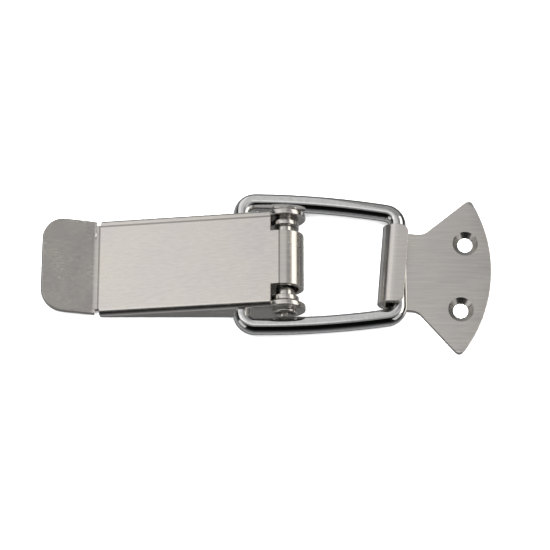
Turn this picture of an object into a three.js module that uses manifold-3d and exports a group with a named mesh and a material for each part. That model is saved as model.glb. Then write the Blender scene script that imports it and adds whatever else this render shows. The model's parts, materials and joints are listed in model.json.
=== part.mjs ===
// Toggle bolt latch in stainless steel, closed: a pressed base, a channel lever on a
// rivet, a wire bail through the lever, and a fishtail keeper hooked by the bail.
//
// Millimetres, +Z up. Z = 0 is the panel that the latch is screwed to, and the origin is
// the middle of the base's underside. +X runs from the finger tab to the keeper.

import * as THREE from 'three';
import { mergeVertices } from 'three/addons/utils/BufferGeometryUtils.js';
import Module from 'manifold-3d';

const wasm = await Module();
wasm.setup();

// ---------------------------------------------------------------- driving dimensions

// Stock
const SHEET = 1.2;              // gauge of the lever, base and keeper
const WIRE_D = 4;               // bail wire
const PIN_D = 4.4;              // rivet shank

// Running clearances
const PIN_FIT = 0.1;            // radial, rivet shank in its holes
const WIRE_FIT = 0.2;           // radial, bail wire in the lever's holes
const ROLL_FIT = 0.95;          // radial, lever's rolled tongue round the shank
const HOOK_FIT = 0.3;           // radial, bail wire in the keeper's hook
const PLATE_TO_WIRE = 0.15;     // under the lever's plate, above the bail wire
const ROLL_TO_PANEL = 0.65;     // under the rolled tongue
const FLANGE_TO_PANEL = 0.25;   // under the lever's flanges
const CREASE_TO_PANEL = 0.9;    // under the lever at the tab's crease
const PLATE_TO_FLOOR = 0.37;    // over the base's back end, under the lever's plate
const PLATE_TO_EAR = 0.1;       // under the lever's plate, round the base's ears
const EAR_SIDE_GAP = 0.7;       // base ear to lever flange
const EAR_TO_TONGUE = 1.95;     // base ear to rolled tongue, each side
const TONGUE_SIDE_GAP = 0.75;   // rolled tongue to the cut-out in the base
const HEAD_SEAT = 0.15;         // rivet head to lever flange
const BAIL_TO_HEAD = 0.55;      // bail arm to rivet head
const HOOK_SIDE_GAP = 0.42;     // hook's end to where the bail's corner starts

// Lever
const LEVER_WIDTH = 23;         // over the flanges
const LEVER_REACH = 43.14;      // rivet to the crease of the tab
const LEVER_BEND_R = 1.3;       // outside of the flange bends
const NOTCH_BACK = 3.24;        // rivet to the notches between tongue and flanges
const TONGUE_WRAP = 225;        // degrees of roll round the rivet
const KNUCKLE_R = 1.2;          // mid-sheet bend where the tongue leaves the slope
const TAB_INSET = 0.35;         // tab's side inside the flange's
const TAB_LENGTH = 12.4;        // along its own slope
const TAB_ANGLE = 18;           // degrees, rising away from the crease
const TAB_BEND_R = 4.6;         // mid-sheet
const TAB_CORNER_R = 5;
const RELIEF_WIDTH = 1.2;       // nick between flange and tab
const RELIEF_DEPTH = 0.6;

// Base
const BASE_CORNER_R = 6;
const EAR_WALL = 0.9;           // metal round the rivet hole
const EAR_FOOT = 4.5;           // ear's foot, past its round, behind the rivet
const EAR_SWEEP = 144;          // degrees of round on an ear, from level with the rivet
const SCREW_HOLE_D = 3.4;
const SCREW_HEAD_D = 5.8;
const SCREW_LAND = 0.12;        // least straight hole under a countersink
const BASE_FRONT_SCREW = 12.4;  // behind the rivet, on the centre line
const BASE_BACK_SCREWS = 30.4;  // behind the rivet, one each side
const BASE_SCREW_EDGE = 4.6;    // back screws, in from the base's side

// Bail
const BAIL_ARM = 9.69;          // rivet to the bail's pivot in the lever
const BAIL_LENGTH = 35.45;      // between the axes of its two crosspieces
const BAIL_TAPER = 2.3;         // each arm, nearer the centre line at the keeper end
const BAIL_TOE_IN = 7.4;        // degrees, arms at the keeper end
const BAIL_CORNER_R = 3;        // mid-wire
const BAIL_BUTT_GAP = 0.4;      // between the wire's two ends

// Rivet
const HEAD_D = 5.6;
const HEAD_RIM = 0.28;          // straight side of each head
const HEAD_HEIGHT = 0.85;
const HOLLOW_D = 2.6;           // dimple in the peened end
const HOLLOW_DEPTH = 1.1;
const HOLLOW_FLARE = 0.2;       // wider at its mouth, each side
const DOME_FULLNESS = 0.8;      // domed head: 1 is square-shouldered, 0.5 is a cone

// Keeper
const KEEPER_LENGTH = 22;       // hook's axis to the middle of the curved edge
const KEEPER_SHOULDER = 16;     // hook's axis to the tips
const KEEPER_WIDTH = 38.3;      // over the tips, before they are rounded
const KEEPER_TIP_R = 1.2;
const NECK_LENGTH = 5.9;
const NECK_FILLET = 3;
const KEEPER_SCREW_X = 15.6;
const KEEPER_SCREW_SPACING = 16;
const HOOK_LIP = 2.3;           // flat end of the hook, past its axis
const HOOK_STAND_OFF = 0.6;     // bail wire off the hook's axis, away from the curl
const KEEPER_YAW = -5;          // degrees, as screwed down
const KEEPER_SHIFT = -0.5;      // across the latch, as screwed down

// Facets
const BEND_STEP = 15;           // degrees to a facet in a bend
const ROUND_SIDES = 24;         // in a hole
const WIRE_SIDES = 10;
const WIRE_STEPS = 120;
const EDGE_FACETS = 14;         // in the keeper's curved edge
const DOME_FACETS = 4;
const OVERCUT = 1;              // cutters and blanks run this far past the metal

// ---------------------------------------------------------------- worked out from them

const rad = THREE.MathUtils.degToRad;
const deg = THREE.MathUtils.radToDeg;

const rollR = PIN_D / 2 + ROLL_FIT + SHEET;
const pivotZ = rollR + ROLL_TO_PANEL;
const baseEarR = PIN_D / 2 + PIN_FIT + EAR_WALL;
const earR = pivotZ - FLANGE_TO_PANEL;

// The plate's outer face is a line through the crease. It passes plateRise from the rivet's
// axis, which clears the base's ears.
const plateRise = baseEarR + PLATE_TO_EAR + SHEET;
const creaseDrop = pivotZ - CREASE_TO_PANEL - SHEET;
const slope = Math.asin(plateRise / Math.hypot(LEVER_REACH, creaseDrop))
  + Math.atan2(creaseDrop, LEVER_REACH);
const faceAbovePivot = (x) => plateRise / Math.cos(slope) + x * Math.tan(slope);
const xWhereFaceIs = (z) => (z - plateRise / Math.cos(slope)) / Math.tan(slope);

// Where the tongue leaves the slope and runs level onto the roll.
const knuckleX = xWhereFaceIs(rollR);

// The base runs from its ears back to where the plate comes down to its floor.
const plateOverFloor = SHEET + PLATE_TO_FLOOR + SHEET / Math.cos(slope) - pivotZ;
const baseLength = baseEarR - xWhereFaceIs(plateOverFloor);
const pivotX = baseLength / 2 - baseEarR;

const flangeInner = LEVER_WIDTH / 2 - SHEET;
const baseHalf = flangeInner - EAR_SIDE_GAP;
const tongueHalf = baseHalf - SHEET - EAR_TO_TONGUE;
const headOuter = LEVER_WIDTH / 2 + HEAD_SEAT + HEAD_HEIGHT;
const bailHalf = headOuter + BAIL_TO_HEAD + WIRE_D / 2;
const bailTipHalf = bailHalf - BAIL_TAPER;

// Bail pivot, from the rivet.
const bailX = -BAIL_ARM;
const bailZ = faceAbovePivot(bailX) - (SHEET + PLATE_TO_WIRE + WIRE_D / 2) / Math.cos(slope);

// Hook, on the panel.
const hookInnerR = WIRE_D / 2 + HOOK_FIT;
const hookZ = SHEET + hookInnerR;
const toeIn = rad(BAIL_TOE_IN);
const crosspieceHalf = bailTipHalf - BAIL_CORNER_R * Math.cos(toeIn);
const hookHalf = crosspieceHalf - HOOK_SIDE_GAP;

// ---------------------------------------------------------------- finishes

const satinSteel = new THREE.MeshStandardMaterial({
  color: 0xb9b6b0, roughness: 0.42, metalness: 1,
});
const polishedWire = new THREE.MeshStandardMaterial({
  color: 0xd2d3d4, roughness: 0.12, metalness: 1,
});
const brightRivet = new THREE.MeshStandardMaterial({
  color: 0xc8c6c2, roughness: 0.25, metalness: 1,
});

// ---------------------------------------------------------------- solids

function toSolid(geometry) {
  const bare = new THREE.BufferGeometry();
  bare.setAttribute('position', geometry.attributes.position);
  if (geometry.index) bare.setIndex(geometry.index);
  const welded = mergeVertices(bare, 1e-4);
  return new wasm.Manifold(new wasm.Mesh({
    numProp: 3,
    vertProperties: Float32Array.from(welded.attributes.position.array),
    triVerts: Uint32Array.from(welded.index.array),
  }));
}

function toMesh(name, solid, material) {
  const { vertProperties, triVerts } = solid.getMesh();
  const geometry = new THREE.BufferGeometry();
  geometry.setAttribute('position', new THREE.BufferAttribute(vertProperties, 3));
  geometry.setIndex(new THREE.BufferAttribute(triVerts, 1));
  geometry.computeVertexNormals();
  const mesh = new THREE.Mesh(geometry, material);
  mesh.name = name;
  return mesh;
}

// A side view, drawn in X and Z, given its width along Y.
function across(shape, y0, y1) {
  const geometry = new THREE.ExtrudeGeometry(shape, { depth: y1 - y0, bevelEnabled: false });
  return toSolid(geometry.rotateX(Math.PI / 2).translate(0, y1, 0));
}

// A plan view, drawn in X and Y, given its height along Z.
function upright(shape, z0, z1) {
  const geometry = new THREE.ExtrudeGeometry(shape, { depth: z1 - z0, bevelEnabled: false });
  return toSolid(geometry.translate(0, 0, z0));
}

function box(x0, x1, y0, y1, z0, z1) {
  const geometry = new THREE.BoxGeometry(x1 - x0, y1 - y0, z1 - z0);
  return toSolid(geometry.translate((x0 + x1) / 2, (y0 + y1) / 2, (z0 + z1) / 2));
}

// A drill along Y, right through the latch.
function drillAcross(x, z, diameter) {
  const geometry = new THREE.CylinderGeometry(diameter / 2, diameter / 2, LEVER_WIDTH * 2, ROUND_SIDES);
  return toSolid(geometry.translate(x, 0, z));
}

// A countersink cutter standing on the panel, flush with the sheet's upper face.
function countersink(x, y) {
  const flare = (SCREW_HEAD_D - SCREW_HOLE_D) / 2;
  const outline = [
    new THREE.Vector2(0, -OVERCUT),
    new THREE.Vector2(SCREW_HOLE_D / 2, -OVERCUT),
    new THREE.Vector2(SCREW_HOLE_D / 2, Math.max(SHEET - flare, SCREW_LAND)),
    new THREE.Vector2(SCREW_HEAD_D / 2, SHEET),
    new THREE.Vector2(SCREW_HEAD_D / 2, SHEET + OVERCUT),
    new THREE.Vector2(0, SHEET + OVERCUT),
  ];
  const geometry = new THREE.LatheGeometry(outline, ROUND_SIDES);
  return toSolid(geometry.rotateX(Math.PI / 2).translate(x, y, 0));
}

// A closed outline whose corners, each [x, y, radius], are rounded.
function roundedOutline(corners) {
  const points = [];
  corners.forEach(([x, y, radius], i) => {
    const corner = new THREE.Vector2(x, y);
    if (!radius) {
      points.push(corner);
      return;
    }
    const [px, py] = corners[(i + corners.length - 1) % corners.length];
    const [nx, ny] = corners[(i + 1) % corners.length];
    const back = new THREE.Vector2(px, py).sub(corner).normalize();
    const on = new THREE.Vector2(nx, ny).sub(corner).normalize();
    const half = Math.acos(back.dot(on)) / 2;
    const centre = back.clone().add(on).normalize().multiplyScalar(radius / Math.sin(half)).add(corner);
    const from = back.clone().multiplyScalar(radius / Math.tan(half)).add(corner).sub(centre).angle();
    const turn = Math.PI - 2 * half;
    const sign = Math.sign(on.cross(back));
    const count = Math.max(2, Math.ceil(deg(turn) / BEND_STEP));
    for (let k = 0; k <= count; k += 1) {
      const angle = from + sign * turn * (k / count);
      points.push(new THREE.Vector2(Math.cos(angle), Math.sin(angle)).multiplyScalar(radius).add(centre));
    }
  });
  return new THREE.Shape(points);
}

// The side view of a bent strip. It starts at mid-sheet with a heading in degrees and
// follows its legs: { run } goes straight, { turn, radius } bends, positive anticlockwise.
function bentStrip(x, z, heading, legs) {
  const over = [];
  const under = [];
  let angle = rad(heading);
  const mark = () => {
    const upX = -Math.sin(angle) * SHEET / 2;
    const upZ = Math.cos(angle) * SHEET / 2;
    over.push(new THREE.Vector2(x + upX, z + upZ));
    under.push(new THREE.Vector2(x - upX, z - upZ));
  };
  mark();
  for (const { run, turn, radius } of legs) {
    if (run) {
      x += run * Math.cos(angle);
      z += run * Math.sin(angle);
      mark();
      continue;
    }
    const side = Math.sign(turn);
    const count = Math.max(2, Math.ceil(Math.abs(turn) / BEND_STEP));
    const centreX = x - side * radius * Math.sin(angle);
    const centreZ = z + side * radius * Math.cos(angle);
    for (let k = 0; k < count; k += 1) {
      angle += rad(turn) / count;
      x = centreX + side * radius * Math.sin(angle);
      z = centreZ - side * radius * Math.cos(angle);
      mark();
    }
  }
  return new THREE.Shape([...over, ...under.reverse()]);
}

// ---------------------------------------------------------------- base

// Floor, two upturned ears that carry the rivet, a cut-out for the rolled tongue, and
// three countersunk screw holes. Its ears stand inside the lever's flanges.
function makeBase() {
  const back = -baseLength / 2;
  const front = baseLength / 2;
  const floor = upright(roundedOutline([
    [back, -baseHalf, BASE_CORNER_R],
    [front, -baseHalf, 0],
    [front, baseHalf, 0],
    [back, baseHalf, BASE_CORNER_R],
  ]), 0, SHEET);

  const ear = new THREE.Shape();
  ear.moveTo(pivotX - baseEarR - EAR_FOOT, SHEET / 2);
  ear.lineTo(front, SHEET / 2);
  ear.lineTo(pivotX + baseEarR, pivotZ);
  ear.absarc(pivotX, pivotZ, baseEarR, 0, rad(EAR_SWEEP));
  ear.closePath();

  const notchHalf = tongueHalf + TONGUE_SIDE_GAP;
  const notchBack = pivotX - rollR - TONGUE_SIDE_GAP;
  let base = floor
    .add(across(ear, baseHalf - SHEET, baseHalf))
    .add(across(ear, -baseHalf, SHEET - baseHalf))
    .subtract(box(notchBack, front + OVERCUT, -notchHalf, notchHalf, -OVERCUT, SHEET + OVERCUT))
    .subtract(drillAcross(pivotX, pivotZ, PIN_D + 2 * PIN_FIT))
    .subtract(countersink(pivotX - BASE_FRONT_SCREW, 0));
  for (const side of [-1, 1]) {
    base = base.subtract(countersink(pivotX - BASE_BACK_SCREWS, side * (baseHalf - BASE_SCREW_EDGE)));
  }
  return toMesh('base_plate', base, satinSteel);
}

// ---------------------------------------------------------------- lever

// One pressing, drawn round the rivet's axis: a channel with a sloping plate, a tongue
// rolled round the rivet, round ears each side of it, and an upturned finger tab.
function makeLever() {
  const slopeDeg = deg(slope);
  const tabTurn = slopeDeg + TAB_ANGLE;
  const knuckleTangent = KNUCKLE_R * Math.tan(slope / 2);
  const tabTangent = TAB_BEND_R * Math.tan(rad(tabTurn) / 2);
  const plateRun = (LEVER_REACH + knuckleX) / Math.cos(slope);
  const midR = rollR - SHEET / 2;
  const freeEnd = 90 - TONGUE_WRAP;
  const strip = bentStrip(midR * Math.cos(rad(freeEnd)), midR * Math.sin(rad(freeEnd)), freeEnd + 90, [
    { turn: TONGUE_WRAP, radius: midR },
    { run: -knuckleX - knuckleTangent },
    { turn: slopeDeg, radius: KNUCKLE_R },
    { run: plateRun - knuckleTangent - tabTangent },
    { turn: -tabTurn, radius: TAB_BEND_R },
    { run: TAB_LENGTH - tabTangent },
  ]);

  // Channel: its cross-section runs up the slope, then the side view trims its flanges.
  const half = LEVER_WIDTH / 2;
  const deep = pivotZ + 2 * LEVER_REACH * Math.sin(slope);
  const section = roundedOutline([
    [-half, -deep, 0], [-flangeInner, -deep, 0],
    [-flangeInner, plateRise - SHEET, 0], [flangeInner, plateRise - SHEET, 0],
    [flangeInner, -deep, 0], [half, -deep, 0],
    [half, plateRise, LEVER_BEND_R], [-half, plateRise, LEVER_BEND_R],
  ]);
  const ahead = 2 * earR;
  const length = ahead + LEVER_REACH / Math.cos(slope) + deep * Math.sin(slope);
  const channelBlank = new THREE.ExtrudeGeometry(section, { depth: length, bevelEnabled: false });
  const upSlope = new THREE.Matrix4().makeBasis(
    new THREE.Vector3(0, 1, 0),
    new THREE.Vector3(0, 0, 1),
    new THREE.Vector3(1, 0, 0),
  );
  channelBlank.applyMatrix4(upSlope).translate(ahead - length, 0, 0).rotateY(-slope);

  const flangeEnd = -LEVER_REACH + tabTangent;
  const trim = new THREE.Shape();
  trim.moveTo(flangeEnd, -earR);
  trim.lineTo(0, -earR);
  trim.absarc(0, 0, earR, -Math.PI / 2, Math.PI / 2 + slope);
  trim.lineTo(-NOTCH_BACK, plateRise * 2);
  trim.lineTo(flangeEnd, plateRise * 2);
  trim.closePath();

  const ear = new THREE.Shape();
  ear.absarc(0, 0, earR, 0, 2 * Math.PI);

  const lap = SHEET / 2;
  const tabHalf = half - TAB_INSET;
  const reliefIn = tabHalf - RELIEF_DEPTH;
  const tabEnd = -LEVER_REACH - TAB_LENGTH * Math.cos(rad(TAB_ANGLE)) - SHEET * Math.sin(rad(TAB_ANGLE));
  const tabPlan = roundedOutline([
    [flangeEnd + lap, -reliefIn, 0], [flangeEnd + lap, reliefIn, 0],
    [flangeEnd - RELIEF_WIDTH, reliefIn, 0], [flangeEnd - RELIEF_WIDTH, tabHalf, 0],
    [tabEnd, tabHalf, TAB_CORNER_R], [tabEnd, -tabHalf, TAB_CORNER_R],
    [flangeEnd - RELIEF_WIDTH, -tabHalf, 0], [flangeEnd - RELIEF_WIDTH, -reliefIn, 0],
  ]);
  const tall = 2 * LEVER_REACH;
  const blank = across(strip, -LEVER_WIDTH, LEVER_WIDTH);
  const tongue = blank.intersect(box(-NOTCH_BACK - lap, tall, -tongueHalf, tongueHalf, -tall, tall));
  const tab = blank.intersect(upright(tabPlan, -tall, tall));

  const lever = toSolid(channelBlank)
    .intersect(across(trim, -LEVER_WIDTH, LEVER_WIDTH))
    .subtract(box(-NOTCH_BACK, tall, -flangeInner, flangeInner, -tall, tall))
    .add(across(ear, flangeInner, half))
    .add(across(ear, -half, -flangeInner))
    .add(tongue)
    .add(tab)
    .subtract(drillAcross(0, 0, PIN_D + 2 * PIN_FIT))
    .subtract(drillAcross(bailX, bailZ, WIRE_D + 2 * WIRE_FIT));
  return toMesh('lever', lever, satinSteel);
}

// ---------------------------------------------------------------- rivet

// Semi-tubular rivet turned about Y: a domed head on the far side, and on the near side
// the rolled-over end with its hollow.
function makeRivet() {
  const seat = LEVER_WIDTH / 2 + HEAD_SEAT;
  const headR = HEAD_D / 2;
  const profile = new THREE.Path();
  profile.moveTo(0, HOLLOW_DEPTH - headOuter);
  profile.lineTo(HOLLOW_D / 2, HOLLOW_DEPTH - headOuter);
  profile.lineTo(HOLLOW_D / 2 + HOLLOW_FLARE, -headOuter);
  profile.lineTo(headR - HEAD_HEIGHT / 2, -headOuter);
  profile.lineTo(headR, -seat - HEAD_RIM);
  profile.lineTo(headR, -seat);
  profile.lineTo(PIN_D / 2, -seat);
  profile.lineTo(PIN_D / 2, seat);
  profile.lineTo(headR, seat);
  profile.lineTo(headR, seat + HEAD_RIM);
  profile.quadraticCurveTo(headR * DOME_FULLNESS, headOuter, 0, headOuter);
  const geometry = new THREE.LatheGeometry(profile.getPoints(DOME_FACETS), ROUND_SIDES);
  return toMesh('hinge_rivet', toSolid(geometry), brightRivet);
}

// ---------------------------------------------------------------- bail

// The loop lies in one plane that holds both crosspieces' axes.
class TiltedLoop extends THREE.Curve {
  constructor(plan, fall) {
    super();
    this.plan = plan;
    this.fall = fall;
  }

  getPoint(t, target = new THREE.Vector3()) {
    const { x, y } = this.plan.getPointAt(t);
    return target.set(x, y, -x * this.fall);
  }
}

// One length of wire, bent to a loop with its ends butted inside the lever. Drawn round
// its pivot in the lever.
function makeBail() {
  const tip = BAIL_LENGTH;
  const radius = BAIL_CORNER_R;
  const armEndX = tip - radius * (1 - Math.sin(toeIn));
  const bowX = armEndX - BAIL_TAPER / Math.tan(toeIn);
  const turn = Math.PI / 2;
  const plan = new THREE.Path();
  plan.moveTo(0, BAIL_BUTT_GAP / 2);
  plan.lineTo(0, bailHalf - radius);
  plan.absarc(radius, bailHalf - radius, radius, Math.PI, turn, true);
  plan.quadraticCurveTo(bowX, bailHalf, armEndX, bailTipHalf);
  plan.absarc(tip - radius, crosspieceHalf, radius, turn - toeIn, 0, true);
  plan.lineTo(tip, -crosspieceHalf);
  plan.absarc(tip - radius, -crosspieceHalf, radius, 0, toeIn - turn, true);
  plan.quadraticCurveTo(bowX, -bailHalf, radius, -bailHalf);
  plan.absarc(radius, radius - bailHalf, radius, -turn, -Math.PI, true);
  plan.lineTo(0, -BAIL_BUTT_GAP / 2);

  const wire = new THREE.Shape();
  for (let k = 0; k < WIRE_SIDES; k += 1) {
    const angle = (2 * Math.PI * k) / WIRE_SIDES;
    const point = [WIRE_D / 2 * Math.cos(angle), WIRE_D / 2 * Math.sin(angle)];
    if (k === 0) wire.moveTo(...point);
    else wire.lineTo(...point);
  }
  wire.closePath();
  const fall = (pivotZ + bailZ - hookZ) / BAIL_LENGTH;
  const geometry = new THREE.ExtrudeGeometry(wire, {
    steps: WIRE_STEPS, extrudePath: new TiltedLoop(plan, fall),
  });
  return toMesh('bail', toSolid(geometry), polishedWire);
}

// ---------------------------------------------------------------- keeper

// Flat fishtail plate with two countersunk holes. Its neck is curled up and back over the
// bail wire. Drawn round the hook's axis in plan, standing on the panel.
function makeKeeper() {
  const sagitta = KEEPER_LENGTH - KEEPER_SHOULDER;
  const tipHalf = KEEPER_WIDTH / 2;
  const edgeR = (tipHalf ** 2 + sagitta ** 2) / (2 * sagitta);
  const sweep = Math.asin(tipHalf / edgeR);
  const curve = [];
  for (let k = 1; k < EDGE_FACETS; k += 1) {
    const angle = sweep * (2 * k / EDGE_FACETS - 1);
    curve.push([KEEPER_LENGTH - edgeR + edgeR * Math.cos(angle), edgeR * Math.sin(angle), 0]);
  }
  const hookOuterR = hookInnerR + SHEET;
  const outline = roundedOutline([
    [-hookOuterR - OVERCUT, hookHalf, 0],
    [-hookOuterR - OVERCUT, -hookHalf, 0],
    [NECK_LENGTH, -hookHalf, NECK_FILLET],
    [KEEPER_SHOULDER, -tipHalf, KEEPER_TIP_R],
    ...curve,
    [KEEPER_SHOULDER, tipHalf, KEEPER_TIP_R],
    [NECK_LENGTH, hookHalf, NECK_FILLET],
  ]);
  const strip = bentStrip(KEEPER_LENGTH + OVERCUT, SHEET / 2, 180, [
    { run: KEEPER_LENGTH + OVERCUT },
    { turn: -180, radius: hookInnerR + SHEET / 2 },
    { run: HOOK_LIP },
  ]);
  let keeper = across(strip, -KEEPER_WIDTH, KEEPER_WIDTH)
    .intersect(upright(outline, -OVERCUT, hookZ + hookOuterR + OVERCUT));
  for (const side of [-1, 1]) {
    keeper = keeper.subtract(countersink(KEEPER_SCREW_X, side * KEEPER_SCREW_SPACING / 2));
  }
  return toMesh('keeper', keeper, satinSteel);
}

// ---------------------------------------------------------------- assembly

const latch = new THREE.Group();
latch.add(makeBase());

const hinge = new THREE.Group();
hinge.position.set(pivotX, 0, pivotZ);
hinge.add(makeLever(), makeRivet());
const bail = makeBail();
bail.position.set(bailX, 0, bailZ);
hinge.add(bail);
latch.add(hinge);

const keeper = makeKeeper();
keeper.position.set(pivotX + bailX + BAIL_LENGTH - HOOK_STAND_OFF, KEEPER_SHIFT, 0);
keeper.rotation.z = rad(KEEPER_YAW);
latch.add(keeper);

export default latch;
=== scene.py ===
# A toggle bolt latch in stainless steel, lying closed on a pale table.
#
# Sizes are in millimetres and become metres when a piece is finished. Each piece is drawn
# where the CAD frame has it, and rides on the CAD body that it belongs to.

import json
import math

import bmesh
import bpy
from mathutils import Matrix, Vector

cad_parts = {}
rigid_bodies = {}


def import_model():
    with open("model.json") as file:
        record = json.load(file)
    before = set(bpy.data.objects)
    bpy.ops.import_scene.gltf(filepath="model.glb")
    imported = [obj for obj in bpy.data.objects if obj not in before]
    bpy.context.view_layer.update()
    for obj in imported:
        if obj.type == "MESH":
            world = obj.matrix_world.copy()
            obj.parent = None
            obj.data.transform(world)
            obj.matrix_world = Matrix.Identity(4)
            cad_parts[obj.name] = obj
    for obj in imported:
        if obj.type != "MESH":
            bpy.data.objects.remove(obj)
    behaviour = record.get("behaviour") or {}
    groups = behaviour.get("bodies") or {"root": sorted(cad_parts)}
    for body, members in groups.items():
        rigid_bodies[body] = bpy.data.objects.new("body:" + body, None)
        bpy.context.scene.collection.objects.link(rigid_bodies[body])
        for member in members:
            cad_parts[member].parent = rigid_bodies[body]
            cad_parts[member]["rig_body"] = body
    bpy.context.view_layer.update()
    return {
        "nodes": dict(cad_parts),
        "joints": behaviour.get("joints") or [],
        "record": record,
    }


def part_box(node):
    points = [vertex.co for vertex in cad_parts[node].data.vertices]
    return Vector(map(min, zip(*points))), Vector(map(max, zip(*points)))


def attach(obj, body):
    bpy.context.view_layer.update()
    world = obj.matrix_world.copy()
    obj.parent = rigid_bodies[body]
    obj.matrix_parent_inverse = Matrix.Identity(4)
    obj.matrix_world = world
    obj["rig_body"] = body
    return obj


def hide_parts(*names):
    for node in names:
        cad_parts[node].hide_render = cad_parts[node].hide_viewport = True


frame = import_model()

joints = {joint["name"]: joint for joint in frame["joints"]}
mounts = {mount["name"]: mount for mount in frame["record"]["mounts"]}


# ------------------------------------------------------------------ base plate
# A pressing in 1.2 mm stainless sheet, screwed to the panel under the lever. Its sides
# turn up into two ears that carry the rivet, and a cut-out lets the lever's tongue roll.

MM = 0.001
SHEET = 1.2
EDGE_BREAK = 0.16               # tumbling rounds the sheared edges by about this much
EDGE_ANGLE = math.radians(50)
PAINTED_BEND_SHADE = 0.52          # painted shade along the bends, as a share of the sheet's own colour
GRAIN_PITCH = 0.35              # between grain lines, drawn coarser than the real 0.05 to show
GRAIN_STRETCH = 20              # a grain line's length over its pitch
PEEN_SIZE = 0.6                 # dimples from the tumbling stones
PATCH_SIZE = 9                  # areas of slightly different sheen
SURFACE_RELIEF = 0.02           # height of the grain and of the draw marks

BASE_BEND_R = 1.6               # outside of the bend from floor to ear
BASE_EAR_R = 3.2
BASE_EAR_FOOT = 4.5
BASE_EAR_SWEEP = math.radians(144)     # round the rivet, before the ear runs back to the floor
BASE_CORNER_R = 6
BASE_SCREWS = ((-12.4, 0), (-30.4, -5), (-30.4, 5))   # from the rivet
CUT_OUT_HALF = 7.2
CUT_OUT_BACK = 5.1              # from the rivet
PIN_HOLE_R = 2.3
SCREW_HOLE_R = 1.7
SCREW_HEAD_R = 2.9

pivot = Vector(joints["lever_swing"]["pos_m"]) / MM
base_low, base_high = (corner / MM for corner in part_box("base_plate"))


def srgb(text):
    """A hex colour as the linear colour that a shader wants."""
    parts = [int(text[i:i + 2], 16) / 255 for i in (1, 3, 5)]
    return [c / 12.92 if c <= 0.04045 else ((c + 0.055) / 1.055) ** 2.4 for c in parts] + [1]


def add_node(tree, kind, inputs=(), **settings):
    """Adds a node. inputs pairs a socket's name or number with a value or another output."""
    node = tree.nodes.new(kind)
    for name, value in settings.items():
        setattr(node, name, value)
    for socket, value in dict(inputs).items():
        if isinstance(value, bpy.types.NodeSocket):
            tree.links.new(value, node.inputs[socket])
        else:
            node.inputs[socket].default_value = value
    return node


def new_material(name):
    material = bpy.data.materials.new(name)
    material.use_nodes = True
    tree = material.node_tree
    tree.nodes.clear()
    return material, tree


def satin_stainless(name, painted_shade_lines=()):
    """Stainless sheet with a fine linished grain, tumbled afterwards: a soft, even sheen
    that is a little uneven in patches, with hair-fine lines along the latch. Dark lines of
    painted shade are laid where a bend starts and where the tongue leaves the plate: each
    line is an axis, a place along it, a half width, and the least and greatest of the other coordinate."""
    material, tree = new_material(name)
    place = add_node(tree, "ShaderNodeTexCoord").outputs["Object"]

    stretched = add_node(tree, "ShaderNodeMapping", {
        "Vector": place, "Scale": (1 / GRAIN_STRETCH, 1, 1),
    })
    grain = add_node(tree, "ShaderNodeTexNoise", {
        "Vector": stretched.outputs[0], "Scale": 1 / (GRAIN_PITCH * MM),
        "Detail": 4, "Roughness": 0.6,
    })
    peen = add_node(tree, "ShaderNodeTexNoise", {
        "Vector": place, "Scale": 1 / (PEEN_SIZE * MM), "Detail": 3, "Roughness": 0.55,
    })
    patches = add_node(tree, "ShaderNodeTexNoise", {
        "Vector": place, "Scale": 1 / (PATCH_SIZE * MM), "Detail": 2, "Roughness": 0.5,
    })
    tint = add_node(tree, "ShaderNodeValToRGB", {"Fac": patches.outputs["Fac"]})
    tint.color_ramp.elements[0].position = 0.3
    tint.color_ramp.elements[0].color = srgb("#d6d3d2")
    tint.color_ramp.elements[1].position = 0.7
    tint.color_ramp.elements[1].color = srgb("#dcd9d3")
    speckle = add_node(tree, "ShaderNodeMapRange", {
        "Value": grain.outputs["Fac"], "From Min": 0.3, "From Max": 0.7,
        "To Min": 0.93, "To Max": 1.04,
    })
    colour = add_node(tree, "ShaderNodeVectorMath", {
        0: tint.outputs["Color"], "Scale": speckle.outputs[0],
    }, operation="SCALE")
    axes = add_node(tree, "ShaderNodeSeparateXYZ", {0: place})
    # Each line darkens the sheet's colour there, as painted shade.
    for axis, at, half_width, low, high in painted_shade_lines:
        other = "Y" if axis == "X" else "X"
        line = add_node(tree, "ShaderNodeMath", {
            0: axes.outputs[axis], 1: at * MM, 2: half_width * MM,
        }, operation="COMPARE")
        span = add_node(tree, "ShaderNodeMath", {
            0: axes.outputs[other], 1: (low + high) / 2 * MM, 2: (high - low) / 2 * MM,
        }, operation="COMPARE")
        painted_shade_mask = add_node(tree, "ShaderNodeMath", {
            0: line.outputs[0], 1: span.outputs[0],
        }, operation="MULTIPLY")
        painted_shade_factor = add_node(tree, "ShaderNodeMapRange", {
            "Value": painted_shade_mask.outputs[0], "To Min": 1, "To Max": PAINTED_BEND_SHADE,
        })
        colour = add_node(tree, "ShaderNodeVectorMath", {
            0: colour.outputs[0], "Scale": painted_shade_factor.outputs[0],
        }, operation="SCALE")
    uneven = add_node(tree, "ShaderNodeMath", {
        0: patches.outputs["Fac"], 1: grain.outputs["Fac"],
    }, operation="ADD")
    roughness = add_node(tree, "ShaderNodeMapRange", {
        "Value": uneven.outputs[0], "From Min": 0.6, "From Max": 1.4,
        "To Min": 0.19, "To Max": 0.29,
    })
    height = add_node(tree, "ShaderNodeMath", {
        0: grain.outputs["Fac"], 1: peen.outputs["Fac"],
    }, operation="ADD")
    bump = add_node(tree, "ShaderNodeBump", {
        "Height": height.outputs[0], "Strength": 0.12, "Distance": SURFACE_RELIEF * MM,
    })
    shader = add_node(tree, "ShaderNodeBsdfPrincipled", {
        "Base Color": colour.outputs[0], "Metallic": 1, "Roughness": roughness.outputs[0],
        "Normal": bump.outputs[0],
    })
    add_node(tree, "ShaderNodeOutputMaterial", {"Surface": shader.outputs[0]})
    return material


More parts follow.
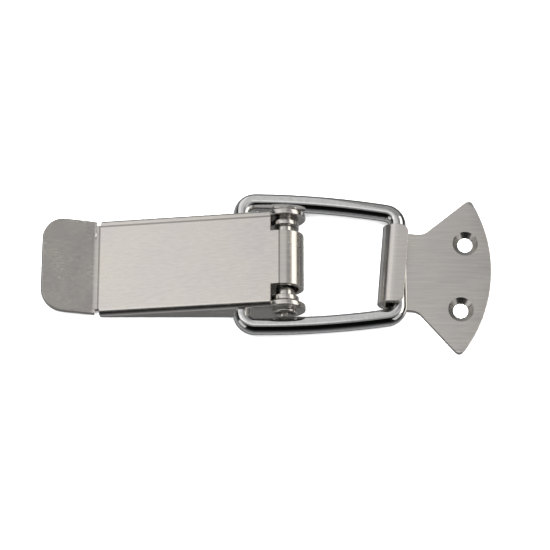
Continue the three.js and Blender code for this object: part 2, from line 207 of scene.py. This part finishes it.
def path(bm, points):
    """New vertices, each joined to the next by an edge."""
    verts = [bm.verts.new(point) for point in points]
    for pair in zip(verts, verts[1:]):
        bm.edges.new(pair)
    return verts


def arc(bm, vert, centre, axis, angle, steps):
    """Draws an arc of edges on from a vertex. Returns the vertex at its far end."""
    spun = bmesh.ops.spin(bm, geom=[vert], cent=centre, axis=axis, angle=angle, steps=steps)
    return next(item for item in spun["geom_last"] if isinstance(item, bmesh.types.BMVert))


def ring(bm, centre, radius, axis):
    """A circle of edges round an axis."""
    turn = Vector((0, 0, 1)).rotation_difference(Vector(axis)).to_matrix().to_4x4()
    bmesh.ops.create_circle(bm, radius=radius, segments=48,
                            matrix=Matrix.Translation(centre) @ turn)


def round_corner(bm, vert, radius, steps=10):
    """Rounds the corner where two edges meet."""
    along = [edge.other_vert(vert).co - vert.co for edge in vert.link_edges]
    half = along[0].angle(along[1]) / 2
    bmesh.ops.bevel(bm, geom=[vert], affect="VERTICES", offset=radius / math.tan(half),
                    offset_type="OFFSET", segments=steps, profile=0.5, material=-1)


def fill(bm, normal, level):
    """Fills the outline drawn in a plane, at its distance from the origin along the plane's
    normal. The rings inside the outline stay open."""
    bmesh.ops.remove_doubles(bm, verts=bm.verts, dist=0.001)
    edges = edges_where(bm, lambda co: abs(co.dot(Vector(normal)) - level) < 0.001)
    bmesh.ops.triangle_fill(bm, use_beauty=True, edges=edges, normal=normal)


def edges_where(bm, test):
    return [edge for edge in bm.edges if all(test(vert.co) for vert in edge.verts)]


def bend(bm, edges, centre, axis, angle, steps):
    """Bends a sheet on from its free edges. Returns the new free edges."""
    verts = {vert for edge in edges for vert in edge.verts}
    spun = bmesh.ops.spin(bm, geom=list(edges) + list(verts), cent=centre, axis=axis,
                          angle=angle, steps=steps)
    return [item for item in spun["geom_last"] if isinstance(item, bmesh.types.BMEdge)]


def pull(bm, edges, offset):
    """Carries a sheet straight on from its free edges. Returns the new free edges."""
    made = bmesh.ops.extrude_edge_only(bm, edges=edges)["geom"]
    verts = {item for item in made if isinstance(item, bmesh.types.BMVert)}
    bmesh.ops.translate(bm, verts=list(verts), vec=offset)
    return [item for item in made
            if isinstance(item, bmesh.types.BMEdge) and set(item.verts) <= verts]


def thicken(bm, facing, screws=(), plain_hole=None):
    """Gives a skin its sheet thickness, behind the side that its largest face shows, and
    breaks the sheared edges. Each screw hole, cut at its head's size, becomes a countersink.
    The rim of the plain hole, given as x, z and radius, stays sharp."""
    bmesh.ops.remove_doubles(bm, verts=bm.verts, dist=0.001)
    bmesh.ops.recalc_face_normals(bm, faces=bm.faces)
    largest = max(bm.faces, key=lambda face: face.calc_area())
    if largest.normal.dot(Vector(facing)) < 0:
        bmesh.ops.reverse_faces(bm, faces=bm.faces)
    bmesh.ops.solidify(bm, geom=bm.faces[:], thickness=SHEET)
    bmesh.ops.recalc_face_normals(bm, faces=bm.faces)

    def in_screw(point, x, y):
        return math.hypot(point.x - x, point.y - y) < SCREW_HEAD_R + 0.05

    def in_plain_hole(point):
        return plain_hole and (
            math.hypot(point.x - plain_hole[0], point.z - plain_hole[1]) < plain_hole[2] + 0.05)

    sharp = [edge for edge in bm.edges
             if len(edge.link_faces) == 2 and edge.calc_face_angle() > EDGE_ANGLE]
    rims = [edge for edge in sharp if in_plain_hole(edge.verts[0].co)
            or any(in_screw(edge.verts[0].co, x, y) for x, y in screws)]
    for edge in rims:
        edge.smooth = False
    bmesh.ops.bevel(bm, geom=[edge for edge in sharp if edge not in rims], affect="EDGES",
                    offset=EDGE_BREAK, offset_type="OFFSET", segments=3, profile=0.5,
                    material=-1, clamp_overlap=False)
    shrink = SCREW_HOLE_R / SCREW_HEAD_R
    for x, y in screws:
        low = [vert for vert in bm.verts if vert.co.z < SHEET / 2 and in_screw(vert.co, x, y)]
        bmesh.ops.scale(bm, verts=low, vec=(shrink, shrink, 1),
                        space=Matrix.Translation((-x, -y, 0)))


def finish_piece(bm, name, material, node):
    """Makes the object in metres, shaded smooth with its flats kept flat, in a CAD node's place."""
    bmesh.ops.scale(bm, verts=bm.verts, vec=(MM, MM, MM))
    mesh = bpy.data.meshes.new(name)
    bm.to_mesh(mesh)
    bm.free()
    mesh.materials.append(material)
    mesh.shade_smooth()
    piece = bpy.data.objects.new(name, mesh)
    bpy.context.scene.collection.objects.link(piece)
    weighted = piece.modifiers.new("flats_stay_flat", "WEIGHTED_NORMAL")
    weighted.mode = "FACE_AREA"
    weighted.weight = 100
    weighted.keep_sharp = True
    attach(piece, frame["nodes"][node]["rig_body"])
    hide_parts(node)
    return piece


satin = satin_stainless("satin_stainless_sheet")

half = base_high.y
ear_back = pivot.x - BASE_EAR_R - BASE_EAR_FOOT
bend_start = half - BASE_BEND_R
cut_back = pivot.x - CUT_OUT_BACK
screws = [(pivot.x + x, y) for x, y in BASE_SCREWS]

bm = bmesh.new()
side = [
    (base_low.x, half), (ear_back, half), (ear_back, bend_start), (base_high.x, bend_start),
    (base_high.x, CUT_OUT_HALF), (cut_back, CUT_OUT_HALF),
]
outline = path(bm, [(x, y, 0) for x, y in side] + [(x, -y, 0) for x, y in reversed(side)])
bm.edges.new((outline[-1], outline[0]))
round_corner(bm, outline[0], BASE_CORNER_R)
round_corner(bm, outline[-1], BASE_CORNER_R)
for x, y in screws:
    ring(bm, (x, y, 0), SCREW_HEAD_R, (0, 0, 1))
fill(bm, (0, 0, -1), 0)
for sign in (-1, 1):
    y = sign * half
    folds = edges_where(bm, lambda co: abs(co.y - sign * bend_start) < 0.01
                        and co.x > ear_back - 0.01)
    bend(bm, folds, (0, sign * bend_start, BASE_BEND_R), (1, 0, 0), sign * math.pi / 2, 8)
    foot = path(bm, [(ear_back, y, BASE_BEND_R), (base_high.x, y, BASE_BEND_R),
                     (base_high.x, y, pivot.z)])
    crown = arc(bm, foot[-1], (pivot.x, y, pivot.z), (0, -1, 0), BASE_EAR_SWEEP, 24)
    bm.edges.new((crown, foot[0]))
    ring(bm, (pivot.x, y, pivot.z), PIN_HOLE_R, (0, 1, 0))
    fill(bm, (0, sign, 0), half)
thicken(bm, (0, 0, -1), screws)
finish_piece(bm, "base_pressing", satin, "base_plate")


# ------------------------------------------------------------------ lever
# One pressing in the same sheet. A channel with a sloping plate, two flanges that end in
# round ears on the rivet, a tongue rolled round the rivet, and a finger tab turned up.

FLANGE_BEND_R = 1.3             # outside of the bend from plate to flange
EAR_R = 4.75
NOTCH_BACK = 3.24               # rivet to the notches beside the tongue
WIRE_HOLE_R = 2.04              # its top comes just under the flange's bend
PLATE_OVER_EAR = 0.1            # plate's underside over the base's ears
TONGUE_HALF = 6.45
ROLL_R = 4.35                   # outside of the rolled tongue
ROLL_WRAP = math.radians(225)
KNUCKLE_R = 1.8                 # outside, where the tongue leaves the slope
LEVER_REACH = 43.14             # rivet to the crease of the tab
CREASE_HEIGHT = 2.1             # upper face over the panel at the crease
TAB_BEND_R = 4                  # upper face
TAB_ANGLE = math.radians(18)
TAB_LENGTH = 11.3               # past its bend
TAB_CORNER_R = 5
TAB_INSET = 0.35                # tab's side inside the flange's
NICK_SHARE = 0.45               # of the tab's bend, before it widens
EDGE_SHADE_INSET = 0.35          # painted shade lines along the flange bends: in from where the flange's bend starts
EDGE_SHADE_HALF = 0.22
CROSS_SHADE_HALF = 0.2           # of the painted shade lines across the lever, at the tab's crease and the knuckle

lever_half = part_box("lever")[1].y / MM
rise = BASE_EAR_R + PLATE_OVER_EAR + SHEET       # plate's upper face over the rivet's axis
drop = pivot.z - CREASE_HEIGHT
slope = math.asin(rise / math.hypot(LEVER_REACH, drop)) + math.atan2(drop, LEVER_REACH)
to_slope = Matrix.Rotation(-slope, 3, "Y")

# The channel and tab are drawn with the plate level, round the rivet's axis.
knuckle = (ROLL_R - rise / math.cos(slope)) / math.tan(slope)
tongue_end = knuckle * math.cos(slope) + ROLL_R * math.sin(slope) - KNUCKLE_R * math.tan(slope / 2)
plate_end = (rise * math.sin(slope) - NOTCH_BACK) / math.cos(slope)
tab_turn = slope + TAB_ANGLE
crease = -LEVER_REACH * math.cos(slope) - drop * math.sin(slope)
plate_start = crease + TAB_BEND_R * math.tan(tab_turn / 2)
flat_half = lever_half - FLANGE_BEND_R
bend_end = rise - FLANGE_BEND_R
tab_half = lever_half - TAB_INSET
bail_axis = Vector(joints["bail_swing"]["pos_m"]) / MM
wire_hole = to_slope.inverted() @ (bail_axis - pivot)

bm = bmesh.new()
knuckle_row = path(bm, [
    (plate_end, y, rise) for y in (-flat_half, -TONGUE_HALF, TONGUE_HALF, flat_half)
])
knuckle_edges = bm.edges[:]
tongue_edge = [edge for edge in knuckle_edges if set(edge.verts) == set(knuckle_row[1:3])]
row = pull(bm, knuckle_edges, (plate_start - plate_end, 0, 0))

# The tab's bend starts behind a nick at each side, then the tab widens.
over_bend = (plate_start, 0, rise + TAB_BEND_R)
row = bend(bm, row, over_bend, (0, 1, 0), tab_turn * NICK_SHARE, 5)
for end in [vert for edge in row for vert in edge.verts if abs(abs(vert.co.y) - flat_half) < 0.01]:
    wide = bm.verts.new((end.co.x, math.copysign(tab_half, end.co.y), end.co.z))
    row.append(bm.edges.new((end, wide)))
row = bend(bm, row, over_bend, (0, 1, 0), tab_turn * (1 - NICK_SHARE), 7)
before = set(bm.faces)
pull(bm, row, Vector((-math.cos(tab_turn), 0, math.sin(tab_turn))) * TAB_LENGTH)
made = [face for face in bm.faces if face not in before]
tab = bmesh.ops.dissolve_faces(bm, faces=made, use_verts=True)["region"][0]
tip_x = min(vert.co.x for vert in tab.verts)
for corner in [vert for vert in tab.verts if vert.co.x < tip_x + 0.01]:
    round_corner(bm, corner, TAB_CORNER_R, 16)

for sign in (-1, 1):
    y = sign * lever_half
    folds = edges_where(bm, lambda co: abs(co.y - sign * flat_half) < 0.01
                        and abs(co.z - rise) < 0.001 and co.x > plate_start - 0.01)
    bend(bm, folds, (0, sign * flat_half, bend_end), (1, 0, 0), -sign * math.pi / 2, 8)
    # From the bend's end, up to the ear's round, round it, and back level with the panel.
    shoulder = math.acos(plate_end / EAR_R)
    top = path(bm, [(plate_start, y, bend_end), (plate_end, y, bend_end),
                    (EAR_R * math.cos(shoulder), y, EAR_R * math.sin(shoulder))])
    bottom = arc(bm, top[-1], (0, y, 0), (0, 1, 0), shoulder + math.pi / 2 + slope, 48)
    heel_z = (-EAR_R - plate_start * math.sin(slope)) / math.cos(slope)
    heel = bm.verts.new((plate_start, y, heel_z))
    bm.edges.new((bottom, heel))
    bm.edges.new((heel, top[0]))
    ring(bm, (wire_hole.x, y, wire_hole.z), WIRE_HOLE_R, (0, 1, 0))
    ring(bm, (0, y, 0), PIN_HOLE_R, (0, 1, 0))
    fill(bm, (0, sign, 0), lever_half)

tongue_edge = pull(bm, tongue_edge, (tongue_end - plate_end, 0, 0))
tongue_edge = bend(bm, tongue_edge, (tongue_end, 0, rise - KNUCKLE_R), (0, 1, 0), slope, 4)
bmesh.ops.rotate(bm, verts=bm.verts, matrix=to_slope)
tongue_edge = pull(bm, tongue_edge, (-tongue_edge[0].verts[0].co.x, 0, 0))
bend(bm, tongue_edge, (0, 0, 0), (0, 1, 0), ROLL_WRAP, 48)
bmesh.ops.translate(bm, verts=bm.verts, vec=pivot)
thicken(bm, (0, 0, 1), plain_hole=(bail_axis.x, bail_axis.z, WIRE_HOLE_R))
# The lever's sheet gets dark lines of painted shade: along each flange's bend, across the tongue at the
# knuckle, and across the plate at the tab's crease.
crease_shade_line = pivot + to_slope @ Vector((plate_start - CROSS_SHADE_HALF, 0, rise))
shaded_sheet = satin_stainless("satin_stainless_painted_bend_shade", (
    ("Y", flat_half - EDGE_SHADE_INSET, EDGE_SHADE_HALF, pivot.x - LEVER_REACH + 1, pivot.x - NOTCH_BACK),
    ("X", pivot.x + knuckle, CROSS_SHADE_HALF, -TONGUE_HALF, TONGUE_HALF),
    ("X", crease_shade_line.x, CROSS_SHADE_HALF, -lever_half, lever_half),
))
finish_piece(bm, "lever_pressing", shaded_sheet, "lever")


# ------------------------------------------------------------------ hinge rivet
# A bright semi-tubular rivet through both ears each side. One end has a low domed head.
# The other is rolled over its own hollow when it is set.

SHANK_R = 2.2
HEAD_R = 2.8
HEAD_HEIGHT = 0.85
HEAD_RIM = 0.25                 # straight side of the domed head
HOLLOW_R = 1.15
HOLLOW_DEPTH = 1.1
HOLLOW_FLARE = 0.25             # hollow's mouth outside its bottom
ROLL_FALL = 0.12                # rolled end, from its mouth out to its rim
ROLL_ROUNDS = (0.3, 0.25, 0.35)        # hollow's bottom, its mouth, and the rim
DOME_SEAT_ROUND = 0.1
DRAW_MARK_SIZE = 0.8

rivet_low, rivet_high = (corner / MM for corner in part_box("hinge_rivet"))


def bright_stainless(name, roughness, tint):
    """Stainless drawn or turned bright: a near mirror, clouded by faint draw marks. Roughness
    is the middle of its range, and tint gives its darker and lighter colours."""
    material, tree = new_material(name)
    place = add_node(tree, "ShaderNodeTexCoord").outputs["Object"]
    marks = add_node(tree, "ShaderNodeTexNoise", {
        "Vector": place, "Scale": 1 / (DRAW_MARK_SIZE * MM), "Detail": 3, "Roughness": 0.5,
    })
    gloss = add_node(tree, "ShaderNodeMapRange", {
        "Value": marks.outputs["Fac"], "From Min": 0.3, "From Max": 0.7,
        "To Min": roughness * 0.7, "To Max": roughness * 1.4,
    })
    bump = add_node(tree, "ShaderNodeBump", {
        "Height": marks.outputs["Fac"], "Strength": 0.04, "Distance": SURFACE_RELIEF * MM,
    })
    shade = add_node(tree, "ShaderNodeValToRGB", {"Fac": marks.outputs["Fac"]})
    shade.color_ramp.elements[0].position = 0.3
    shade.color_ramp.elements[0].color = srgb(tint[0])
    shade.color_ramp.elements[1].position = 0.7
    shade.color_ramp.elements[1].color = srgb(tint[1])
    shader = add_node(tree, "ShaderNodeBsdfPrincipled", {
        "Base Color": shade.outputs["Color"], "Metallic": 1, "Roughness": gloss.outputs[0],
        "Normal": bump.outputs[0],
    })
    add_node(tree, "ShaderNodeOutputMaterial", {"Surface": shader.outputs[0]})
    return material


near_end = rivet_low.y
far_end = rivet_high.y
near_seat = near_end + HEAD_HEIGHT
far_seat = far_end - HEAD_HEIGHT
dome_base = far_seat + HEAD_RIM
dome_rise = far_end - dome_base
dome_r = (HEAD_R ** 2 + dome_rise ** 2) / (2 * dome_rise)

bm = bmesh.new()
profile = path(bm, [
    (0, near_end + HOLLOW_DEPTH, 0), (HOLLOW_R, near_end + HOLLOW_DEPTH, 0),
    (HOLLOW_R + HOLLOW_FLARE, near_end, 0), (HEAD_R, near_end + ROLL_FALL, 0), (HEAD_R, near_seat, 0),
    (SHANK_R, near_seat, 0), (SHANK_R, far_seat, 0), (HEAD_R, far_seat, 0), (HEAD_R, dome_base, 0),
])
arc(bm, profile[-1], (0, far_end - dome_r, 0), (0, 0, 1), math.asin(HEAD_R / dome_r), 8)
rounded = profile[1:4] + [profile[7]]
for vert, radius in zip(rounded, ROLL_ROUNDS + (DOME_SEAT_ROUND,)):
    round_corner(bm, vert, radius, 6)
bmesh.ops.spin(bm, geom=bm.verts[:] + bm.edges[:], cent=(0, 0, 0), axis=(0, 1, 0),
               angle=2 * math.pi, steps=64, use_merge=True)
bmesh.ops.remove_doubles(bm, verts=bm.verts, dist=0.001)
bmesh.ops.recalc_face_normals(bm, faces=bm.faces)
bmesh.ops.translate(bm, verts=bm.verts, vec=(pivot.x, 0, pivot.z))
turned = bright_stainless("bright_turned_stainless", 0.16, ("#cfcdc9", "#dddbd6"))
finish_piece(bm, "hinge_rivet_set", turned, "hinge_rivet")


# ------------------------------------------------------------------ bail
# One length of 4 mm stainless wire, bent to a loop with bowed arms and polished. Its ends
# butt inside the lever, and the far crosspiece draws on the keeper's hook.

WIRE_R = 2
BUTT_GAP = 0.4
BAIL_LENGTH = 35.45             # between the crosspieces' axes
BAIL_CORNER_R = 3
TOE_IN = math.radians(8.8)      # of the arms, over their whole bow
HOOK_R = 2.3                    # inside

arm_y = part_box("bail")[1].y / MM - WIRE_R
run = BAIL_LENGTH - BAIL_CORNER_R * (2 - math.sin(TOE_IN))
bow_r = run / math.sin(TOE_IN)
arm_end = Vector((BAIL_CORNER_R + run, arm_y - bow_r * (1 - math.cos(TOE_IN)), 0))
far_centre = arm_end - Vector((math.sin(TOE_IN), math.cos(TOE_IN), 0)) * BAIL_CORNER_R

bm = bmesh.new()
bmesh.ops.create_circle(bm, cap_ends=True, radius=WIRE_R, segments=40,
                        matrix=Matrix.Translation((0, BUTT_GAP / 2, 0))
                        @ Matrix.Rotation(math.pi / 2, 4, "X"))
loop = pull(bm, bm.edges[:], (0, arm_y - BAIL_CORNER_R - BUTT_GAP / 2, 0))
loop = bend(bm, loop, (BAIL_CORNER_R, arm_y - BAIL_CORNER_R, 0), (0, 0, 1), -math.pi / 2, 20)
loop = bend(bm, loop, (BAIL_CORNER_R, arm_y - bow_r, 0), (0, 0, 1), -TOE_IN, 16)
loop = bend(bm, loop, far_centre, (0, 0, 1), TOE_IN - math.pi / 2, 20)
pull(bm, loop, (0, -far_centre.y, 0))
bmesh.ops.mirror(bm, geom=bm.verts[:] + bm.edges[:] + bm.faces[:], axis="Y", merge_dist=0.001)
bmesh.ops.remove_doubles(bm, verts=bm.verts, dist=0.001)
bmesh.ops.recalc_face_normals(bm, faces=bm.faces)
fall = math.asin((bail_axis.z - SHEET - HOOK_R) / BAIL_LENGTH)
bmesh.ops.rotate(bm, verts=bm.verts, matrix=Matrix.Rotation(fall, 3, "Y"))
bmesh.ops.translate(bm, verts=bm.verts, vec=bail_axis)
polished = bright_stainless("polished_stainless_wire", 0.07, ("#d6d7d8", "#e2e3e4"))
finish_piece(bm, "bail_wire", polished, "bail")


# ------------------------------------------------------------------ keeper
# A fishtail blanked from the same sheet, with two countersunk holes. Its neck is curled up
# and back into a hook, open towards the tail, and the bail pulls into the curl.

KEEPER_LENGTH = 22              # hook's axis to the middle of the curved edge
KEEPER_SHOULDER = 16            # hook's axis to the tips
KEEPER_TIP_HALF = 19.15
KEEPER_TIP_R = 1.2
NECK_HALF = 9.355
NECK_LENGTH = 5.9
NECK_FILLET = 3
KEEPER_SCREWS = ((15.6, -8), (15.6, 8))
HOOK_LIP = 2.3
LIP_CORNER_R = 2
FACE_MARK = 11                  # hook's axis to the keeper_face mount

along = Vector(joints["keeper_slide"]["axis"])
hook_place = Vector(mounts["keeper_face"]["pos_m"]) / MM - along * FACE_MARK
sagitta = KEEPER_LENGTH - KEEPER_SHOULDER
edge_r = (KEEPER_TIP_HALF ** 2 + sagitta ** 2) / (2 * sagitta)
edge_sweep = math.asin(KEEPER_TIP_HALF / edge_r) - 1.5 * KEEPER_TIP_R / edge_r

bm = bmesh.new()
neck = path(bm, [
    (KEEPER_SHOULDER, KEEPER_TIP_HALF, SHEET), (NECK_LENGTH, NECK_HALF, SHEET),
    (0, NECK_HALF, SHEET), (0, -NECK_HALF, SHEET),
    (NECK_LENGTH, -NECK_HALF, SHEET), (KEEPER_SHOULDER, -KEEPER_TIP_HALF, SHEET),
])
edge_centre = Vector((KEEPER_LENGTH - edge_r, 0, SHEET))
towards_tip = Vector((math.cos(edge_sweep), -math.sin(edge_sweep), 0))
edge_start = bm.verts.new(edge_centre + towards_tip * edge_r)
bm.edges.new((neck[-1], edge_start))
edge_end = arc(bm, edge_start, edge_centre, (0, 0, 1), 2 * edge_sweep, 48)
bm.edges.new((edge_end, neck[0]))
corner_rounds = (KEEPER_TIP_R, NECK_FILLET, NECK_FILLET, KEEPER_TIP_R)
for vert, radius in zip((neck[0], neck[1], neck[4], neck[5]), corner_rounds):
    round_corner(bm, vert, radius)
for x, y in KEEPER_SCREWS:
    ring(bm, (x, y, SHEET), SCREW_HEAD_R, (0, 0, 1))
fill(bm, (0, 0, 1), SHEET)
curl = edges_where(bm, lambda co: abs(co.x) < 0.001)
curl = bend(bm, curl, (0, 0, SHEET + HOOK_R), (0, 1, 0), math.pi, 32)
lip = pull(bm, curl, (HOOK_LIP, 0, 0))
for vert in lip[0].verts[:]:
    round_corner(bm, vert, LIP_CORNER_R)
thicken(bm, (0, 0, 1), KEEPER_SCREWS)
askew = math.atan2(along.y, along.x)
bmesh.ops.rotate(bm, verts=bm.verts, matrix=Matrix.Rotation(askew, 3, "Z"))
bmesh.ops.translate(bm, verts=bm.verts, vec=(hook_place.x, hook_place.y, 0))
finish_piece(bm, "keeper_pressing", satin, "keeper")


# ------------------------------------------------------------------ table, light and camera
# A plain white table top under a tent of soft panels, with a dark room towards the viewer,
# so that the bright wire shows its shape. The table is kept out of the metal's reflections.
# Sizes from here on are in metres.

TABLE_HALF = 0.35
FLOOR_Z = -0.00002
TENT_PLACE = (0.42, 0.42)       # y and z of the tent's panels, which lean over the latch
TENT_FACING = (0, -0.60, -0.80)
TENT_LENGTH = 1.25
# Where on its ramp the room has each brightness: the shaded floor by the latch, the open
# floor, and up the walls.
ROOM = ((0.03, 0.16), (0.12, 0.45), (0.28, 0.3), (0.42, 0.15), (0.55, 0.05), (0.68, 0.003))

bm = bmesh.new()
bmesh.ops.create_grid(bm, x_segments=1, y_segments=1, size=TABLE_HALF)
bmesh.ops.translate(bm, verts=bm.verts, vec=(pivot.x * MM, 0, FLOOR_Z))
mesh = bpy.data.meshes.new("table")
bm.to_mesh(mesh)
bm.free()
table = bpy.data.objects.new("table", mesh)
bpy.context.scene.collection.objects.link(table)
material, tree = new_material("white_laminate")
shader = add_node(tree, "ShaderNodeBsdfPrincipled", {
    "Base Color": srgb("#f4f4f4"), "Roughness": 0.8,
})
add_node(tree, "ShaderNodeOutputMaterial", {"Surface": shader.outputs[0]})
mesh.materials.append(material)
table.visible_glossy = False


def softbox(name, place, facing, width, height, radiance, colour):
    """A rectangular light that the camera doesn't see. It looks as bright at any size."""
    light = bpy.data.lights.new(name, "AREA")
    light.shape = "RECTANGLE"
    light.size = width
    light.size_y = height
    light.energy = math.pi * width * height * radiance
    light.color = srgb(colour)[:3]
    lamp = bpy.data.objects.new(name, light)
    lamp.location = place
    lamp.rotation_euler = Vector(facing).to_track_quat("-Z", "Y").to_euler()
    lamp.visible_camera = False
    bpy.context.scene.collection.objects.link(lamp)
    return lamp


softbox("tent_left", (-0.42, *TENT_PLACE), TENT_FACING, 0.46, TENT_LENGTH, 0.95, "#fffcf9")
softbox("tent_middle", (-0.04, *TENT_PLACE), TENT_FACING, 0.3, TENT_LENGTH, 0.68, "#fffdfb")
softbox("tent_right", (0.46, *TENT_PLACE), TENT_FACING, 0.7, TENT_LENGTH, 0.34, "#fffdfb")
softbox("ceiling", (0.0, -0.12, 1.1), (0, 0, -1), 2.0, 0.7, 0.28, "#fffdfb")
softbox("side_right", (0.80, 0.20, 0.46), (-0.9, -0.2, -0.5), 0.9, 0.5, 1.7, "#fff9f0")
for name, place in (("front_left", (-0.75, -0.50, 0.45)), ("front_right", (0.75, -0.50, 0.45))):
    softbox(name, place, -Vector(place), 0.6, 0.6, 0.7, "#fffdfb")
wash = softbox("table_wash", (0, 0, 1.0), (0, 0, -1), 1.4, 1.4, 8, "#ffffff")
wash.visible_glossy = False     # not in the metal's reflections, for the table's sake

world = bpy.data.worlds.new("dark_room")
world.use_nodes = True
tree = world.node_tree
tree.nodes.clear()
# The height of each direction, counted higher to the right, where the floor is darker.
height = add_node(tree, "ShaderNodeVectorMath", {
    0: add_node(tree, "ShaderNodeTexCoord").outputs["Generated"], 1: (0.3, 0, 1),
}, operation="DOT_PRODUCT")
room = add_node(tree, "ShaderNodeValToRGB", {
    "Fac": add_node(tree, "ShaderNodeMapRange", {
        "Value": height.outputs["Value"], "From Min": -1, "From Max": 1,
    }).outputs[0],
})
ramp = room.color_ramp.elements
ramp[0].position, ramp[0].color = ROOM[0][0], (ROOM[0][1],) * 3 + (1,)
ramp[1].position, ramp[1].color = ROOM[-1][0], (ROOM[-1][1],) * 3 + (1,)
for place, level in ROOM[1:-1]:
    ramp.new(place).color = (level, level, level, 1)
room_light = add_node(tree, "ShaderNodeBackground", {"Color": room.outputs[0], "Strength": 1})
backdrop = add_node(tree, "ShaderNodeBackground", {"Color": srgb("#f8f8f8"), "Strength": 1})
seen = add_node(tree, "ShaderNodeMixShader", {
    0: add_node(tree, "ShaderNodeLightPath").outputs["Is Camera Ray"],
    1: room_light.outputs[0], 2: backdrop.outputs[0],
})
add_node(tree, "ShaderNodeOutputWorld", {"Surface": seen.outputs[0]})
bpy.context.scene.world = world
bpy.context.scene.view_settings.view_transform = "Standard"

CAMERA_TILT = math.radians(20)
CAMERA_DISTANCE = 0.5257
CAMERA_AIM = Vector((0.01578, -0.0011, 0))
FOCAL_LENGTH = 150.5            # on a 36 mm sensor

camera_data = bpy.data.cameras.new("camera")
camera_data.lens = FOCAL_LENGTH
camera = bpy.data.objects.new("camera", camera_data)
back = Vector((0, -math.sin(CAMERA_TILT), math.cos(CAMERA_TILT)))
camera.location = CAMERA_AIM + back * CAMERA_DISTANCE
camera.rotation_euler = (CAMERA_TILT, 0, 0)
bpy.context.scene.collection.objects.link(camera)
bpy.context.scene.camera = camera
